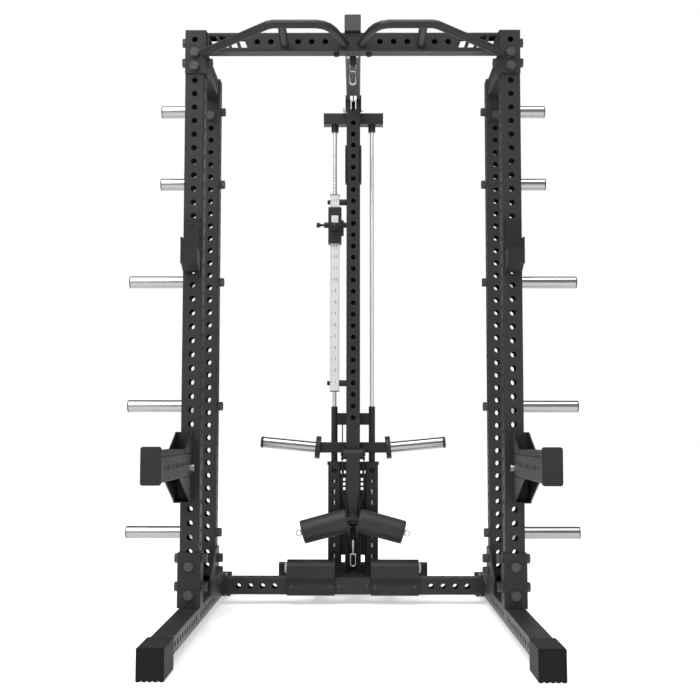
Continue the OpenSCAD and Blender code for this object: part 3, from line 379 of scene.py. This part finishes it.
cross_y = box_mm("rear_crossmember")[0].y + 12
REST_X, REST_W = 174, 198
RIB_R, RIB_PATH_R, RIB_Z, RIB_COUNT = 1.4, 36.4, 147, 9
STEP_Z = (101, 93, 53)
BOLT_Z = 75
BOLT_PROFILE = [(-0.5, 0), (-0.5, 7), (1.8, 7), (3.2, 5), (3.4, 3), (2.2, 2.8), (2.2, 0)]
BOLTS = (("inner", 94, cross_y - 12), ("outer", 254, cross_y - 12), ("plate", 59, cross_y - 4))
for side, k in SIDES:
    lathe("rest_disc_" + side, [(0, 0), (0, 24), (5, 24), (9, 20), (11, 12), (11.5, 0)],
          (k * (REST_X + REST_W / 2), cross_y + 18, 149), (k, 0, 0), disc_grey, "rack",
          48)
    for i in range(RIB_COUNT):
        turn = math.radians(200 - 12 * i)
        y = cross_y + 18 + RIB_PATH_R * math.cos(turn)
        z = RIB_Z + RIB_PATH_R * math.sin(turn)
        if z > 168 or z < 128:
            tube("rest_rib_%s_%d" % (side, i), [(k * REST_X - REST_W / 2 + 3, y, z),
                                                (k * REST_X + REST_W / 2 - 3, y, z)],
                 RIB_R, dark_paint, "rack", 10)
    for z in STEP_Z:
        prism_x("rest_step_%s_%d" % (side, z), [(cross_y - 14, z - 2), (cross_y - 14, z + 2),
                                                (cross_y - 11.5, z + 2), (cross_y - 11.5, z - 2)],
                k * REST_X - REST_W / 2 + 2, k * REST_X + REST_W / 2 - 2, dark_paint, "rack")
    for name, x, y in BOLTS:
        lathe("rest_bolt_%s_%s" % (name, side), BOLT_PROFILE, (k * x, y, BOLT_Z), (0, -1, 0),
              bolt_steel, "rack", 24)

# ------------------------------------------------------------------ horn caps

HORN_X, HORN_LEN, HORN_R = 162, 240, 24
HORN_TILT = math.radians(5.5)
horn_low, horn_high = box_mm("carriage_horns")
horn_z = horn_high.z - HORN_LEN * math.sin(HORN_TILT) - HORN_R * math.cos(HORN_TILT)
horn_cap = [(HORN_LEN - 7, 0), (HORN_LEN - 7, HORN_R + 0.6), (HORN_LEN + 2, HORN_R + 0.6),
            (HORN_LEN + 4.6, HORN_R - 2), (HORN_LEN + 4.6, 0)]
for side, k in SIDES:
    lathe("horn_cap_" + side, horn_cap, (k * HORN_X, (horn_low.y + horn_high.y) / 2, horn_z),
          (k * math.cos(HORN_TILT), 0, math.sin(HORN_TILT)), black_plastic, "carriage")

# ------------------------------------------------------------------ scale marks

rail_low, rail_high = box_mm("scale_rail")
RAIL_X = (rail_low.x + rail_high.x) / 2
FACE_Y = rail_low.y
FIRST_MARK, MARK_STEP, MARK_COUNT = rail_low.z + 38, 50, 17
DIGIT_SIZE, DIGIT_DEPTH = 0.019, 0.0001


def plate(bm, x, z, w, h):
    """One printed tick, a hair proud of the rail's face."""
    corners = [(x - w / 2, z - h / 2), (x + w / 2, z - h / 2),
               (x + w / 2, z + h / 2), (x - w / 2, z + h / 2)]
    front = [bm.verts.new(Vector((a, FACE_Y - 0.15, b)) * MM) for a, b in corners]
    back = [bm.verts.new(Vector((a, FACE_Y + 0.05, b)) * MM) for a, b in corners]
    bm.faces.new(front)
    bm.faces.new(back[::-1])
    for i in range(4):
        j = (i + 1) % 4
        bm.faces.new((front[i], back[i], back[j], front[j]))


bm = bmesh.new()
for i in range(MARK_COUNT):
    z = FIRST_MARK + MARK_STEP * i
    plate(bm, RAIL_X - 13, z, 9, 1.8)
    for j in range(1, 5):
        if z + 10 * j < rail_high.z - 8:
            plate(bm, RAIL_X - 15, z + 10 * j, 5, 1.0)
from_bmesh("scale_ticks", bm, mark_ink, "rack", smooth=False)
for i in range(MARK_COUNT):
    curve = bpy.data.curves.new("digit_shape_%d" % i, "FONT")
    curve.body = str(i + 1)
    curve.size = DIGIT_SIZE
    curve.extrude = DIGIT_DEPTH
    curve.align_x = "CENTER"
    curve.align_y = "CENTER"
    word = bpy.data.objects.new("digit_temp", curve)
    bpy.context.scene.collection.objects.link(word)
    bpy.context.view_layer.update()
    mesh = bpy.data.meshes.new_from_object(word)
    mesh.transform(Matrix.Translation(Vector((RAIL_X + 3, FACE_Y - 0.1, FIRST_MARK + MARK_STEP * i)) * MM)
                   @ Matrix.Rotation(math.pi / 2, 4, "X"))
    mesh.materials.clear()
    mesh.materials.append(mark_ink)
    bpy.data.objects.remove(word)
    digit = bpy.data.objects.new("scale_digit_%02d" % (i + 1), mesh)
    bpy.context.scene.collection.objects.link(digit)
    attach(digit, "rack")

# ------------------------------------------------------------------ floor, light, camera

ROOM_FRONT, ROOM_BACK = 0.42, 0.08  # brightness of the room in front of and behind the rack
FLOOR, FLOOR_Z = 14, -0.0005

floor_mesh = bpy.data.meshes.new("floor")
floor_mesh.from_pydata([(-FLOOR, -FLOOR, FLOOR_Z), (FLOOR, -FLOOR, FLOOR_Z),
                        (FLOOR, FLOOR * 3, FLOOR_Z), (-FLOOR, FLOOR * 3, FLOOR_Z)],
                       [], [(0, 1, 2, 3)])
floor_mesh.materials.append(floor_white)
floor = bpy.data.objects.new("floor", floor_mesh)
bpy.context.scene.collection.objects.link(floor)

# The camera sees a white backdrop, while the metal mirrors a dimmer room
world = bpy.data.worlds.new("studio")
world.use_nodes = True
bpy.context.scene.world = world
wt = world.node_tree
room = wt.nodes["Background"]
backdrop = wt.nodes.new("ShaderNodeBackground")
backdrop.inputs["Color"].default_value = (1, 1, 1, 1)
backdrop.inputs["Strength"].default_value = 1.0
direction = wt.nodes.new("ShaderNodeTexCoord")
split = wt.nodes.new("ShaderNodeSeparateXYZ")
wt.links.new(direction.outputs["Generated"], split.inputs["Vector"])
front_to_back = wt.nodes.new("ShaderNodeMapRange")
for key, value in (("From Min", -0.6), ("From Max", 0.5), ("To Min", ROOM_FRONT),
                   ("To Max", ROOM_BACK)):
    front_to_back.inputs[key].default_value = value
wt.links.new(split.outputs["Y"], front_to_back.inputs["Value"])
wt.links.new(front_to_back.outputs["Result"], room.inputs["Strength"])
room.inputs["Color"].default_value = (1, 1, 1, 1)
seen = wt.nodes.new("ShaderNodeLightPath")
mix = wt.nodes.new("ShaderNodeMixShader")
wt.links.new(seen.outputs["Is Camera Ray"], mix.inputs["Fac"])
wt.links.new(room.outputs["Background"], mix.inputs[1])
wt.links.new(backdrop.outputs["Background"], mix.inputs[2])
wt.links.new(mix.outputs["Shader"], wt.nodes["World Output"].inputs["Surface"])


def area(name, location, target, size, power):
    light = bpy.data.lights.new(name, "AREA")
    light.shape = "RECTANGLE"
    light.size, light.size_y = size
    light.energy = power
    obj = bpy.data.objects.new(name, light)
    obj.location = location
    obj.rotation_euler = (Vector(target) - Vector(location)).to_track_quat("-Z", "Y").to_euler()
    bpy.context.scene.collection.objects.link(obj)


area("key", (-2.6, -4.4, 3.6), (0, 0, 1.1), (2.2, 2.2), 70)
area("fill", (3.4, -3.2, 2.2), (0, 0, 1.0), (2.0, 2.6), 30)
area("top", (0, -0.6, 4.6), (0, 0, 0), (4.0, 3.0), 110)
area("rear", (0.5, 5.0, 2.6), (0, 0, 1.0), (3.0, 2.0), 14)
sun = bpy.data.lights.new("sky", "SUN")
sun.energy = 1.8
sun.angle = math.radians(50)
sky = bpy.data.objects.new("sky", sun)
sky.rotation_euler = Vector((0.25, 0.45, -0.85)).to_track_quat("-Z", "Y").to_euler()
bpy.context.scene.collection.objects.link(sky)

camera = bpy.data.cameras.new("camera")
camera.sensor_width = 36
camera.lens = 56.68
camera.clip_end = 200
view = bpy.data.objects.new("camera", camera)
view.location = (0.01601, -4.06507, 0.71479)
view.rotation_euler = (math.pi / 2 + 0.073797, -0.0011145, 0.0061465)
bpy.context.scene.collection.objects.link(view)
bpy.context.scene.camera = view
bpy.context.scene.view_settings.view_transform = "Standard"
